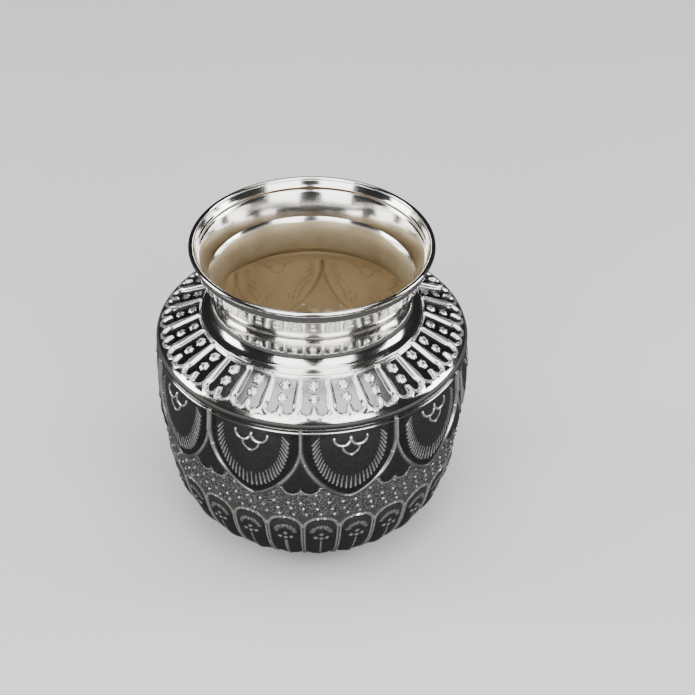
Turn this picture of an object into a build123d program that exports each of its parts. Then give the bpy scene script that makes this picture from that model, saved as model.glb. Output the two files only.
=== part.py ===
from build123d import *

# Lota water pot: silver sheet raised and chased, soldered up from a bowl, a shoulder and a neck.
# Millimetres, +Z up. The origin is the middle of the resting face, and Z is the axis of the pot.
# Every piece is turned about that axis, so each one is a closed section, revolved. A wall is drawn
# as its outer line, in arcs, and is given the thickness of the sheet on the inner side.
import math
import os

# ---- driving dimensions ----------------------------------------------------------------------
height = 120.0  # resting face to the top of the lip
lip_radius = 44.0  # outside of the mouth
sheet = 1.0  # thickness of the silver, the same in all three raised pieces

# bowl
base_radius = 18.0  # flat resting face
foot_curve = 35.0  # radius of the turn from the base into the wall
foot_turn = 74.8  # degrees of that turn
seam_radius = 56.0  # outside of the joint of bowl and shoulder
seam_height = 78.3
seam_lap = 3.2  # one sheet stands this far inside the other

# shoulder
dome_radius = 54.8  # where the dome turns over into the ring
dome_height = 84.2
ring_curve = 3.6  # upper turn of the smooth ring above the seam
ring_undercut = 2.5  # lower turn, back in to the seam
joint_radius = 39.8  # outside of the joint of shoulder and neck
joint_height = 91.0
joint_slope = 24.0  # both sheets fall this many degrees there
joint_lap = 2.4  # the neck's edge runs on this far under the shoulder

# neck
skirt = 1.4  # straight part just above the joint
skirt_curve = 5.4  # turn of the skirt up into the waist
collar_radius = 38.2  # where the waist meets the collar, at a crease
collar_height = 105.8
flare_radius = 40.55  # a place on the collar, to set its flare
flare_height = 110.4
rim_radius = 42.4  # top of the flare, where the nearly upright band of the lip begins
rim_height = 115.2

# wires
lip_wire_radius = 0.9
seam_wire_radius = 0.45
neck_wire_radius = 0.45

# ---- worked out from them --------------------------------------------------------------------
seam_foot = seam_height - seam_lap
lip_center = (lip_radius - lip_wire_radius, height - lip_wire_radius)
slope = math.radians(joint_slope)
down_slope = Vector(math.cos(slope), -math.sin(slope))
into_pot = Vector(-math.sin(slope), -math.cos(slope))
joint = Vector(joint_radius, joint_height)
under_joint = Vector(joint_radius, joint_height - sheet / math.cos(slope))

os.makedirs("parts", exist_ok=True)

# ---- bowl: raised in one sheet, closed at the foot, with a straight edge for the lap ---------
with BuildPart() as bowl:
    with BuildSketch(Plane.XZ):
        with BuildLine():
            Line((0, 0), (base_radius, 0))
            foot = JernArc((base_radius, 0), (1, 0), foot_curve, foot_turn)
            TangentArc(foot @ 1, (seam_radius, seam_foot), tangent=foot % 1)
            Line((seam_radius, seam_foot), (seam_radius, seam_height))
            offset(amount=sheet, side=Side.LEFT)
        make_face()
    revolve(axis=Axis.Z)

# ---- shoulder: dome and ring, with a joggled lap that stands inside the bowl ------------------
with BuildPart() as shoulder:
    with BuildSketch(Plane.XZ):
        with BuildLine():
            straight = Line(joint, joint + down_slope * joint_lap)
            dome = TangentArc(straight @ 1, (dome_radius, dome_height), tangent=down_slope)
            dome_slope = math.degrees(math.atan2(-(dome % 1).Y, (dome % 1).X))
            ring = JernArc(dome @ 1, dome % 1, ring_curve, dome_slope - 90)
            undercut = JernArc(ring @ 1, (0, -1), ring_undercut, -50)
            Line(undercut @ 1, (seam_radius, (undercut @ 1).Y))
            Line((seam_radius, (undercut @ 1).Y), (seam_radius, seam_height))
            offset(amount=sheet, side=Side.RIGHT)
        make_face()
        with Locations((seam_radius - sheet, seam_foot)):
            Rectangle(sheet, seam_lap + sheet, align=(Align.MAX, Align.MIN))
    revolve(axis=Axis.Z)

# ---- neck: waist, collar and flared mouth, with an edge that runs on under the shoulder -------
with BuildPart() as neck:
    with BuildSketch(Plane.XZ):
        with BuildLine():
            edge = Line(joint, joint - down_slope * skirt)
            turn = JernArc(edge @ 1, edge % 1, skirt_curve, joint_slope - 90)
            TangentArc(turn @ 1, (collar_radius, collar_height), tangent=turn % 1)
            ThreePointArc(
                (collar_radius, collar_height),
                (flare_radius, flare_height),
                (rim_radius, rim_height),
            )
            Line((rim_radius, rim_height), lip_center)
            offset(amount=sheet, side=Side.LEFT)
        make_face()
        with Locations(lip_center):
            Circle(lip_wire_radius, mode=Mode.SUBTRACT)
        with BuildLine():
            Polyline(
                under_joint - down_slope * skirt,
                under_joint + down_slope * joint_lap,
                under_joint + down_slope * joint_lap + into_pot * sheet,
                under_joint - down_slope * skirt + into_pot * sheet,
                close=True,
            )
        make_face()
    revolve(axis=Axis.Z)

# ---- lip wire: round wire that stiffens the edge of the mouth ---------------------------------
with BuildPart() as lip_wire:
    with BuildSketch(Plane.XZ):
        with Locations(lip_center):
            Circle(lip_wire_radius)
    revolve(axis=Axis.Z)

# ---- neck wire: half-round wire over the joint of neck and shoulder, drawn with eight flats ----
flats = [math.pi * k / 8 for k in range(9)]
across = [down_slope * math.cos(flat) - into_pot * math.sin(flat) for flat in flats]
neck_wire_section = [joint + way * neck_wire_radius for way in across]
with BuildPart() as neck_wire:
    with BuildSketch(Plane.XZ):
        with BuildLine():
            Polyline(*neck_wire_section, close=True)
        make_face()
    revolve(axis=Axis.Z)

# ---- seam wire: half-round wire over the joint of bowl and shoulder ---------------------------
with BuildPart() as seam_wire:
    with BuildSketch(Plane.XZ):
        with Locations((seam_radius, seam_height)):
            Circle(seam_wire_radius)
            Rectangle(1, 2, align=(Align.MAX, Align.CENTER), mode=Mode.SUBTRACT)
    revolve(axis=Axis.Z)

# ---- one STEP file for each piece --------------------------------------------------------------
bowl.part.label = "bowl"
export_step(bowl.part, "parts/bowl.step")
shoulder.part.label = "shoulder"
export_step(shoulder.part, "parts/shoulder.step")
neck.part.label = "neck"
export_step(neck.part, "parts/neck.step")
lip_wire.part.label = "lip_wire"
export_step(lip_wire.part, "parts/lip_wire.step")
neck_wire.part.label = "neck_wire"
export_step(neck_wire.part, "parts/neck_wire.step")
seam_wire.part.label = "seam_wire"
export_step(seam_wire.part, "parts/seam_wire.step")
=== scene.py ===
"""Silver lota water pot: raised in sheet, chased in relief, darkened in the hollows and worn bright.

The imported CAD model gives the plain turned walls. Each wall is spun again here from the same
outline, finely enough to carry its chased relief, and the relief moves both faces of the wall,
because the silver is one sheet. Lengths in the classes are in millimetres, as on the bench.
"""

import logging
import math
from dataclasses import dataclass, field
from enum import Enum

import bmesh
import bpy
import numpy as np
from mathutils import Matrix, Vector


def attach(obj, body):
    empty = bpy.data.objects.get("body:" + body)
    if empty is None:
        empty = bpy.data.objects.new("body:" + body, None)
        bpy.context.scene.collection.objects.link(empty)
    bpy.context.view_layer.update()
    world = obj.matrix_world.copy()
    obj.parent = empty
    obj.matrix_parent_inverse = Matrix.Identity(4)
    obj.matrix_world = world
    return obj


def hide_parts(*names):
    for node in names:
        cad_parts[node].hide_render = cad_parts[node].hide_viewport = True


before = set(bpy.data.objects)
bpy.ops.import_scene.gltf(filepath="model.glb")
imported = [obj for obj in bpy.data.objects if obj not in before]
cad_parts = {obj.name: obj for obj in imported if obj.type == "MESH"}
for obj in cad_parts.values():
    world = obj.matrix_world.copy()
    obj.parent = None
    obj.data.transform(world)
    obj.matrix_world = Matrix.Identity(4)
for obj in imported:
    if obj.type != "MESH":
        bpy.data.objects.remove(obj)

logging.basicConfig(level=logging.INFO, format="%(message)s")
log = logging.getLogger("lota")

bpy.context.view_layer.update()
MM = 0.001
SHARP_EDGE = 75.0  # degrees between two faces from which their edge shows sharp
TOUCHING = 1e-6  # lengths below this count as none
Array = np.ndarray
Point = tuple[float, float]
Colour = tuple[float, float, float]


# ---- small shaping functions -------------------------------------------------------------------


def ease(value: Array, low: float, high: float) -> Array:
    """A smooth ramp.

    Args:
        value: where to read the ramp.
        low: value at which it is 0.
        high: value at which it is 1. It may be less than low.

    Returns:
        The ramp, from 0 to 1.
    """
    t = np.clip((value - low) / (high - low), 0.0, 1.0)
    return t * t * (3.0 - 2.0 * t)


def bead(distance: Array, half: float | Array, power: float = 1.0) -> Array:
    """A rounded raised line or dot.

    Args:
        distance: distance from its middle.
        half: half its width.
        power: over 1 gives it softer edges.

    Returns:
        Its height, from 0 at the edge to 1 in the middle.
    """
    return np.clip(1.0 - (distance / half) ** 2, 0.0, 1.0) ** power


def line_distance(x: Array, y: Array, points: list[Point]) -> Array:
    """Distance from each place to a bent line.

    Args:
        x: places across.
        y: places down.
        points: corners of the line.

    Returns:
        The distance to the nearest stretch of the line.
    """
    nearest = np.full(x.shape, 1e9)
    for (ax, ay), (bx, by) in zip(points, points[1:]):
        dx, dy = bx - ax, by - ay
        t = np.clip(((x - ax) * dx + (y - ay) * dy) / (dx * dx + dy * dy), 0.0, 1.0)
        nearest = np.minimum(nearest, np.hypot(x - ax - t * dx, y - ay - t * dy))
    return nearest


def drop(x: Array, y: Array, head: Point, tail: Point, head_half: float, tail_half: float) -> Array:
    """One drop-shaped stroke of a round chisel, wide at its head and thin at its tail.

    Args:
        x: places across.
        y: places down.
        head: middle of the wide end.
        tail: middle of the thin end.
        head_half: half the width at the head.
        tail_half: half the width at the tail.

    Returns:
        Its height, from 0 to 1.
    """
    dx, dy = tail[0] - head[0], tail[1] - head[1]
    t = np.clip(((x - head[0]) * dx + (y - head[1]) * dy) / (dx * dx + dy * dy), 0.0, 1.0)
    distance = np.hypot(x - head[0] - t * dx, y - head[1] - t * dy)
    return bead(distance, head_half + (tail_half - head_half) * t) * (1.0 - 0.35 * t)


@dataclass
class Relief:
    """Chased relief on a wall, at a set of places.

    Each field holds one number for each place: height in millimetres, and four tones from 0 to 1 for the
    finish: worn is bright metal; the second tone darkens the metal, mostly as oxide in the hollows and in
    a few places as painted shade; punched is matted ground; and dull is the unpolished inside.
    """

    TONES = ("worn", "oxide_and_painted_shade", "punched", "dull")

    height: Array
    worn: Array
    oxide_and_painted_shade: Array
    punched: Array
    dull: Array

    @classmethod
    def plain(cls, count: int) -> "Relief":
        """A wall with no relief on it."""
        return cls(*(np.zeros(count) for _ in range(5)))

    def line(self, shape: Array, height: float, worn: float = 1.0) -> None:
        """Raises a line, stroke or dot.

        Args:
            shape: its form, from 0 to 1.
            height: how far it stands up, in millimetres.
            worn: how bright its top is rubbed.
        """
        self.height += shape * height
        self.worn = np.maximum(self.worn, worn * ease(shape, 0.15, 0.75))
        self.oxide_and_painted_shade *= 1.0 - 0.9 * ease(shape, 0.1, 0.7)
        self.punched *= 1.0 - ease(shape, 0.02, 0.3)


# ---- outlines of walls ---------------------------------------------------------------------------


class Outline:
    """The outer line of a turned wall, drawn upwards in lines and arcs, with outside on its right."""

    STEP = 0.05

    def __init__(self, start: Point, heading: float) -> None:
        """Starts an outline.

        Args:
            start: first point, as radius and height.
            heading: direction in degrees, 0 for outwards and 90 for up.
        """
        self.points: list[Point] = [start]
        self.headings: list[float] = [math.radians(heading)]

    @property
    def end(self) -> Point:
        """The last point so far."""
        return self.points[-1]

    def line(self, length: float) -> "Outline":
        """Goes straight on for a length."""
        return self.turn(math.inf, length)

    def line_to(self, point: Point) -> "Outline":
        """Goes straight to a point, with a corner here if it has to."""
        dr, dz = point[0] - self.end[0], point[1] - self.end[1]
        self.headings[-1] = math.atan2(dz, dr)
        return self.line(math.hypot(dr, dz))

    def turn(self, radius: float, length: float) -> "Outline":
        """Goes on along an arc.

        Args:
            radius: its radius, above 0 to turn left, or infinite for a line.
            length: its length.

        Returns:
            The outline.
        """
        count = max(1, round(length / self.STEP))
        for _ in range(count):
            (r, z), heading, step = self.end, self.headings[-1], length / count
            middle = heading + 0.5 * step / radius
            self.points.append((r + step * math.cos(middle), z + step * math.sin(middle)))
            self.headings.append(heading + step / radius)
        return self

    def turn_by(self, radius: float, degrees: float) -> "Outline":
        """Turns left by an angle above 0, or right by one below 0, on an arc of that radius."""
        side = math.copysign(1.0, degrees)
        return self.turn(side * radius, radius * abs(math.radians(degrees)))

    def arc_to(self, point: Point) -> "Outline":
        """Goes to a point on the one arc that leaves smoothly from here."""
        dr, dz = point[0] - self.end[0], point[1] - self.end[1]
        chord = math.hypot(dr, dz)
        half = math.remainder(math.atan2(dz, dr) - self.headings[-1], math.tau)
        if abs(half) < TOUCHING:
            return self.line(chord)
        radius = chord / (2.0 * math.sin(half))
        return self.turn(radius, abs(2.0 * half * radius))

    def arrays(self) -> tuple[Array, Array, Array]:
        """Points, outward normals and lengths along the outline."""
        points = np.array(self.points)
        headings = np.array(self.headings)
        normals = np.stack([np.sin(headings), -np.cos(headings)], -1)
        steps = np.hypot(*np.diff(points, axis=0).T)
        return points, normals, np.concatenate([[0.0], np.cumsum(steps)])


@dataclass
class Section:
    """One face of a wall: points on it, with the normal and the place along the outline of each."""

    points: Array
    normals: Array
    along: Array

    @classmethod
    def cut(cls, outline: Outline, places: Array, inward: float = 0.0) -> "Section":
        """Takes a stretch of an outline.

        Args:
            outline: the outer line of the wall.
            places: lengths along it at which to put a point.
            inward: how far inside it the face lies.

        Returns:
            The face.
        """
        points, normals, along = outline.arrays()
        n = np.stack([np.interp(places, along, normals[:, i]) for i in (0, 1)], -1)
        n /= np.linalg.norm(n, axis=1, keepdims=True)
        p = np.stack([np.interp(places, along, points[:, i]) for i in (0, 1)], -1) - n * inward
        if points[0, 0] < TOUCHING:  # an outline that starts on the axis keeps its first point there
            p[:, 0] = np.where(places <= TOUCHING, 0.0, p[:, 0])
        return cls(p, n, np.asarray(places, float))


def spaced(*stretches: tuple[float, float, float]) -> Array:
    """Places along an outline.

    Args:
        stretches: start, end and spacing of each stretch, in order.

    Returns:
        The places, each once.
    """
    parts = []
    for low, high, step in stretches:
        parts.append(np.linspace(low, high, max(2, round((high - low) / step) + 1)))
    return np.unique(np.round(np.concatenate(parts), 6))


# ---- the wall as a mesh --------------------------------------------------------------------------


class Side(Enum):
    """The two faces of a wall, with the number that marks each on its points."""

    OUTSIDE = 1.0
    INSIDE = 0.0


@dataclass
class Wall:
    """A closed turned wall: an outer face and an inner face, joined at both ends."""

    name: str
    outer: Section
    inner: Section
    columns: int  # wide columns that it is spun in
    outer_cuts: int  # cuts across each column of the outer face
    inner_cuts: int
    closed_foot: bool = False  # both faces start on the axis

    LAYERS = ("along", "side", "out", "up", "reach")  # what each point keeps until it is chased

    def spin(self, bm: bmesh.types.BMesh) -> None:
        """Draws the section of the wall, up the outside and down the inside, and spins it.

        Args:
            bm: the mesh to add it to.
        """
        layers = [bm.verts.layers.float.new(name) for name in self.LAYERS]
        section = []
        for face, side in ((self.outer, Side.OUTSIDE), (self.inner, Side.INSIDE)):
            chain = []
            for (r, z), (nr, nz), along in zip(face.points, face.normals, face.along):
                vert = bm.verts.new((r * MM, 0.0, z * MM))
                for layer, value in zip(layers, (along, side.value, nr, nz, r)):
                    vert[layer] = value
                chain.append(vert)
            section += chain if side is Side.OUTSIDE else chain[::-1]
        edges = [bm.edges.new(pair) for pair in zip(section, section[1:])]
        if not self.closed_foot:
            edges.append(bm.edges.new((section[-1], section[0])))
        bmesh.ops.spin(
            bm,
            geom=section + edges,
            cent=(0.0, 0.0, 0.0),
            axis=(0.0, 0.0, 1.0),
            angle=math.tau,
            steps=self.columns,
            use_merge=True,
            use_duplicate=False,
        )
        poles = [v for v in bm.verts if math.hypot(v.co.x, v.co.y) < 1e-7]
        if poles:
            bmesh.ops.remove_doubles(bm, verts=poles, dist=TOUCHING)

    def cut_columns(self, bm: bmesh.types.BMesh, side: Side, cuts: int) -> None:
        """Cuts each wide column of one face into narrow ones.

        Args:
            bm: the mesh.
            side: which face to cut.
            cuts: how many cuts to make in each column.
        """
        along, which = (bm.verts.layers.float[name] for name in ("along", "side"))
        hoops = [
            e for e in bm.edges
            if e.verts[0][which] == e.verts[1][which] == side.value
            and abs(e.verts[0][along] - e.verts[1][along]) < 1e-5
        ]
        bmesh.ops.subdivide_edges(bm, edges=hoops, cuts=cuts, use_grid_fill=True)

    def build(self) -> bpy.types.Object:
        """Makes the wall, with no relief yet.

        Returns:
            The new object.
        """
        bm = bmesh.new()
        self.spin(bm)
        self.cut_columns(bm, Side.OUTSIDE, self.outer_cuts)
        self.cut_columns(bm, Side.INSIDE, self.inner_cuts)
        bmesh.ops.triangulate(bm, faces=[f for f in bm.faces if len(f.verts) > 4])
        bmesh.ops.recalc_face_normals(bm, faces=bm.faces)
        mesh = bpy.data.meshes.new(self.name)
        bm.to_mesh(mesh)
        bm.free()
        piece = bpy.data.objects.new(self.name, mesh)
        bpy.context.scene.collection.objects.link(piece)
        return piece


def read(mesh: bpy.types.Mesh, name: str) -> Array:
    """The numbers of a point attribute."""
    values = np.zeros(len(mesh.vertices), np.float32)
    mesh.attributes[name].data.foreach_get("value", values)
    return values.astype(float)


def places_of(mesh: bpy.types.Mesh) -> Array:
    """The points of a mesh, one row each, in metres."""
    co = np.zeros(len(mesh.vertices) * 3, np.float32)
    mesh.vertices.foreach_get("co", co)
    return co.reshape(-1, 3).astype(float)


def chase(piece: bpy.types.Object, ornament: "Ornament", inside_share: float = 1.0) -> None:
    """Chases an ornament into a wall: moves both faces, and keeps the tones for the finish.

    Args:
        piece: the wall.
        ornament: what is chased on it.
        inside_share: how much of the height shows on the inner face.
    """
    mesh = piece.data
    co = places_of(mesh)
    along, side, out, up, reach = (read(mesh, name) for name in Wall.LAYERS)
    angle = np.degrees(np.arctan2(co[:, 0], -co[:, 1]))
    outside = side > 0.5
    relief = Relief.plain(len(co))
    for face, mask in ((Side.OUTSIDE, outside), (Side.INSIDE, ~outside)):
        if mask.any():
            part = ornament.at(angle[mask], along[mask], reach[mask], face)
            for name in ("height", *Relief.TONES):
                getattr(relief, name)[mask] = getattr(part, name)
    share = np.where(outside, 1.0, inside_share)
    radius = np.maximum(np.hypot(co[:, 0], co[:, 1]), 1e-9)
    round_x, round_y = co[:, 0] / radius, co[:, 1] / radius
    move = relief.height * share
    wide = (reach + out * move) * MM
    co = np.stack([round_x * wide, round_y * wide, co[:, 2] + up * move * MM], -1)
    mesh.vertices.foreach_set("co", co.astype(np.float32).ravel())
    for name in Wall.LAYERS:
        mesh.attributes.remove(mesh.attributes[name])
    for name in Relief.TONES:
        tone = np.clip(getattr(relief, name), 0.0, 1.0)
        attribute = mesh.attributes.new(name, "FLOAT", "POINT")
        attribute.data.foreach_set("value", tone.astype(np.float32))
    mesh.update()


# ---- ornaments -----------------------------------------------------------------------------------


@dataclass
class Ornament:
    """What is chased on a wall. The base class is a plain planished wall."""

    hammer: float = 0.02  # depth of the planishing marks
    waves: int = 9  # how many waves make up the marks
    wave_length: Point = (14.0, 40.0)  # shortest and longest, up the wall
    seed: int = 1

    def planishing(self, angle: Array, along: Array) -> Array:
        """Shallow waves left by the planishing hammer, a whole number of each round the pot.

        Args:
            angle: degrees round the pot.
            along: millimetres along the wall.

        Returns:
            Their height, in millimetres.
        """
        rng = np.random.default_rng(self.seed)
        total = np.zeros(len(angle))
        for _ in range(self.waves):
            turns = int(rng.integers(3, 17))
            pitch = rng.uniform(*self.wave_length)
            phase, tilt = rng.uniform(0.0, math.tau, 2)
            total += np.sin(np.radians(angle) * turns + phase) * np.sin(along / pitch * math.tau + tilt)
        return total / 3.0 * self.hammer

    def at(self, angle: Array, along: Array, radius: Array, face: Side) -> Relief:
        """The relief at places on a wall.

        Args:
            angle: degrees round the pot.
            along: millimetres along the outline.
            radius: millimetres from the axis.
            face: which face of the wall.

        Returns:
            The relief.
        """
        relief = Relief.plain(len(angle))
        relief.height += self.planishing(angle, along)
        relief.dull += float(face is Side.INSIDE)
        return relief


@dataclass
class Repeat:
    """A unit of ornament repeated round the pot, with the small errors of handwork."""

    count: int
    first: float  # degrees, middle of the first unit
    shift: float = 0.0  # largest error of one unit sideways, in millimetres
    seed: int = 7

    def local(self, angle: Array) -> tuple[Array, Array]:
        """Where each place falls in its unit.

        Args:
            angle: degrees round the pot.

        Returns:
            Degrees from the middle of the unit, and the unit's number.
        """
        pitch = 360.0 / self.count
        unit = np.floor((angle - self.first) / pitch + 0.5)
        return angle - self.first - unit * pitch, unit.astype(int) % self.count

    def errors(self, unit: Array, kind: int) -> Array:
        """A random number from -1 to 1 for each unit.

        Args:
            unit: numbers of the units.
            kind: which error, so that errors differ.

        Returns:
            The numbers.
        """
        return np.random.default_rng(self.seed + kind).uniform(-1.0, 1.0, self.count)[unit]


@dataclass
class LargePetals(Ornament):
    """The row of large lotus petals that hang from the seam, with a heart between each two.

    In a petal, x is the distance from its middle line and y the depth below the seam. The inset
    of a place is its distance inside the outline, and below 0 outside it.
    """

    repeat: Repeat = field(default_factory=lambda: Repeat(count=10, first=13.9, shift=0.5))
    top: float = 0.0  # place along the wall of the seam
    girth: float = 56.2  # radius at which the sizes across are true
    half: float = 17.5  # half the width of a petal at its widest
    shoulder: float = 8.0  # where the sides begin to close
    tip: float = 31.0
    tip_shift: float = 0.45  # largest error of a tip up or down
    hollow: float = 0.5  # depth of the hollow just inside the outline
    swelling: float = 0.75  # height of the middle of a petal
    outline_half: float = 0.5
    outline_height: float = 0.7
    outline_fades: Point = (19.0, 26.0)  # depths between which the outline sinks
    stem_half: float = 0.7
    stem_foot: Point = (8.0, 9.8)
    strokes: int = 31
    stroke_span: Point = (13.4, 21.4)  # half-width and depth of the arch of strokes
    stroke_center: float = 5.0
    stroke_focus: float = -13.0  # depth of the point that all strokes lead to
    stroke_length: Point = (6.2, 3.8)  # of the middle stroke and the outermost
    stroke_half: Point = (0.44, 0.38)  # half the width of their heads
    stroke_height: float = 0.42
    scale: float = 3.05  # radius of one scale at the top
    scale_line: float = 0.4
    scale_height: float = 0.5
    scale_point: Point = (0.55, 1.6)  # length and half-width of the point of the lowest scale
    lobe: float = 3.5  # radius of the lobes at the foot of a heart
    lobe_middle: Point = (3.1, 25.2)
    heart_foot: float = 25.6
    heart_inset: float = 0.35  # room between a heart and the outlines
    heart_height: float = 0.4
    ground_sunk: float = 0.55
    ground_starts: Point = (20.0, 22.0)
    dot_row: float = 28.9

    def side(self, y: Array) -> Array:
        """Half the width of a petal at a depth below the seam."""
        t = np.clip((y - self.shoulder) / (self.tip - self.shoulder), 0.0, 1.0)
        return self.half * np.clip(1.0 - t**1.74, 0.0, 1.0) ** 0.7

    def edge(self) -> list[Point]:
        """One side of a petal's outline, from above the seam to the tip."""
        depths = np.concatenate([[-2.0, 0.0], np.linspace(self.shoulder, self.tip, 34)])
        return [(float(self.side(np.array(d))), float(d)) for d in depths]

    def stroke_ends(self) -> list[tuple[Point, Point, float]]:
        """Head, tail and size of each stroke of the arch, on the right half with the middle one."""
        wide, deep = self.stroke_span
        turns = np.linspace(0.0, math.radians(88.0), 400)
        x, y = wide * np.sin(turns), self.stroke_center + deep * np.cos(turns)
        run = np.concatenate([[0.0], np.cumsum(np.hypot(np.diff(x), np.diff(y)))])
        ends = []
        for k in range((self.strokes + 1) // 2):
            share = k / ((self.strokes - 1) / 2)
            place = run[-1] * share
            hx, hy = float(np.interp(place, run, x)), float(np.interp(place, run, y))
            away = math.hypot(hx, hy - self.stroke_focus)
            length, size = (a + (b - a) * share for a, b in (self.stroke_length, self.stroke_half))
            tail = (hx - hx / away * length, hy - (hy - self.stroke_focus) / away * length)
            ends.append(((hx, hy), tail, size))
        return ends

    def chase_field(self, relief: Relief, y: Array, inset: Array) -> None:
        """Hollows a petal just inside its outline and swells its middle."""
        petal = ease(inset, 0.0, 0.8)
        relief.height -= self.hollow * petal * (1.0 - ease(inset, 2.2, 4.4))
        relief.height += ease(inset, 3.4, 13.0) * self.swelling * ease(y, -1.0, 7.0)
        # the petal is darkened all over as oxide, and a little more in the hollow just inside its
        # outline, which is painted shade
        relief.oxide_and_painted_shade = np.maximum(relief.oxide_and_painted_shade, petal * (1.0 - 0.05 * ease(inset, 2.6, 5.0)))

    def chase_strokes(self, relief: Relief, x: Array, y: Array) -> None:
        """Raises the arch of strokes."""
        shape = np.zeros(len(x))
        for head, tail, size in self.stroke_ends():
            shape = np.maximum(shape, drop(x, y, head, tail, size, 0.14))
        relief.line(shape, self.stroke_height, 0.9)

    def chase_scales(self, relief: Relief, x: Array, y: Array) -> None:
        """Raises the three scales at the top, the lowest one behind the other two."""
        r = self.scale
        long, wide = self.scale_point
        upper, lowest = (r, r + 0.2), (0.0, 2.0 * r + 0.6)
        for middle in (lowest, upper):
            away = np.hypot(x - middle[0], y - middle[1])
            covered = (np.hypot(x - upper[0], y - upper[1]) < r) & (middle is lowest)
            point = long * np.clip(1.0 - x / wide, 0.0, 1.0) * (middle is lowest)
            lower_half = ease(y, middle[1] - 0.8, middle[1] + 0.2)
            ring = bead(away - r + 0.1 - point, self.scale_line) * lower_half * ~covered
            relief.height += 0.35 * bead(away, r) * ~covered
            relief.line(ring, self.scale_height, 1.0)

    def chase_heart(self, relief: Relief, gap: Array, y: Array, inset: Array) -> tuple[Array, Array]:
        """Raises the dark heart between two petals and sinks the ground round it.

        Args:
            relief: the relief to chase it in.
            gap: distance from the line midway between the two petals.
            y: depth below the seam.
            inset: see the class.

        Returns:
            Distance inside the heart, and how far each place is in the ground, from 0 to 1.
        """
        outside = inset < 0
        room = -inset - self.heart_inset
        lobe = self.lobe - np.hypot(gap - self.lobe_middle[0], y - self.lobe_middle[1])
        body = np.minimum(room, self.heart_foot - y)
        heart = np.where(outside, np.maximum(body, np.minimum(lobe, room)), -1.0)
        dark = ease(heart, 0.0, 0.6) * ease(y, 9.0, 11.0)
        ground = np.where(outside, ease(y, *self.ground_starts), 0.0)
        relief.height -= self.ground_sunk * ground * ease(-inset, 0.3, 1.1) * (1.0 - dark)
        relief.height += self.heart_height * dark * ease(heart, 0.0, 2.6)
        relief.line(bead(heart + 0.25, 0.4) * ease(y, 21.0, 23.0) * (inset < -0.5), 0.25, 0.55)
        relief.oxide_and_painted_shade = np.maximum(relief.oxide_and_painted_shade, dark * 0.97)
        return heart, ground

    def chase_outline(self, relief: Relief, gap: Array, y: Array, inset: Array, heart: Array) -> None:
        """Raises the outline, which sinks and darkens towards the tip, and the stem above a heart."""
        faint = ease(y, *self.outline_fades)
        crevice = 0.9 * faint * ease(inset, -0.9, -0.5) * (heart < -0.4)
        relief.oxide_and_painted_shade = np.maximum(relief.oxide_and_painted_shade, crevice)
        outline = bead(inset, self.outline_half)
        relief.height += outline * (self.outline_height - 0.5 * faint)
        relief.oxide_and_painted_shade *= 1.0 - outline * (0.85 - 0.75 * faint)
        relief.worn = np.maximum(relief.worn, outline * (0.8 - 0.72 * faint))
        relief.line(bead(gap, self.stem_half) * (1.0 - ease(y, *self.stem_foot)), 0.5, 0.85)

    def at(self, angle: Array, along: Array, radius: Array, face: Side) -> Relief:
        """The relief of the petals, hearts and ground. See Ornament.at."""
        relief = super().at(angle, along, radius, face)
        degrees, unit = self.repeat.local(angle)
        depth = self.top - along
        x = np.radians(degrees) * self.girth
        middle = 1.0 - np.clip(np.abs(x) / self.half, 0.0, 1.0) ** 2
        x = x + self.repeat.shift * self.repeat.errors(unit, 1) * middle * ease(depth, 4.0, 26.0)
        y = depth + self.tip_shift * self.repeat.errors(unit, 2) * middle * ease(depth, 10.0, 24.0)
        x = np.abs(x)
        gap = self.half + 0.1 - x
        edge = line_distance(x, y, self.edge())
        inset = np.where((x < self.side(y)) & (y < self.tip), edge, -edge)

        self.chase_field(relief, y, inset)
        self.chase_strokes(relief, x, y)
        self.chase_scales(relief, x, y)
        heart, ground = self.chase_heart(relief, gap, y, inset)
        matted = ground * ease(-inset, 0.5, 0.9) * (1.0 - ease(heart, -0.5, 0.1))
        relief.punched = np.maximum(relief.punched, matted)
        struck = relief.punched * ease(-inset, 1.0, 1.7) * ease(-heart, 0.2, 0.8)
        MattingPunch().onto(relief, angle, depth, self.girth, struck)
        self.chase_outline(relief, gap, y, inset, heart)
        dots = GroundDots(rows=(self.dot_row,), seed=31)
        return dots.onto(relief, angle, depth, self.girth, np.minimum(-inset - 1.2, -heart - 0.75))


@dataclass(frozen=True)
class MattingPunch:
    """The dents of a round matting punch, struck by hand all over a ground."""

    pitch: float = 0.85  # from one dent to the next
    half: float = 0.46
    depth: float = 0.16
    rows: int = 64  # rows of dents before the pattern comes round again
    seed: int = 61

    def onto(self, relief: Relief, angle: Array, y: Array, girth: float, mask: Array) -> None:
        """Strikes the dents.

        Args:
            relief: the relief to strike them in.
            angle: degrees round the pot.
            y: depth below the seam.
            girth: radius of the pot there.
            mask: how much of each dent to strike, from 0 to 1.
        """
        across = round(math.tau * girth / self.pitch)
        down = self.rows
        rng = np.random.default_rng(self.seed)
        push = rng.uniform(0.12, 0.88, (2, across, down))
        deep = rng.uniform(0.5, 1.0, (across, down))
        u, v = (angle / 360.0 * across) % across, y / self.pitch
        dent = np.zeros(len(y))
        for i in (-1, 0, 1):
            for j in (-1, 0, 1):
                cu, cv = (np.floor(u) + i).astype(int), (np.floor(v) + j).astype(int)
                key = cu % across, cv % down
                away = np.hypot(u - cu - push[0][key], v - cv - push[1][key]) * self.pitch
                dent = np.maximum(dent, bead(away, self.half) * deep[key])
        relief.height -= self.depth * (dent - 0.35) * mask
        relief.oxide_and_painted_shade = np.maximum(relief.oxide_and_painted_shade, 0.95 * ease(dent, 0.3, 0.7) * mask)
        relief.worn = np.maximum(relief.worn, 0.3 * (1.0 - ease(dent, 0.0, 0.2)) * mask)


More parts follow.
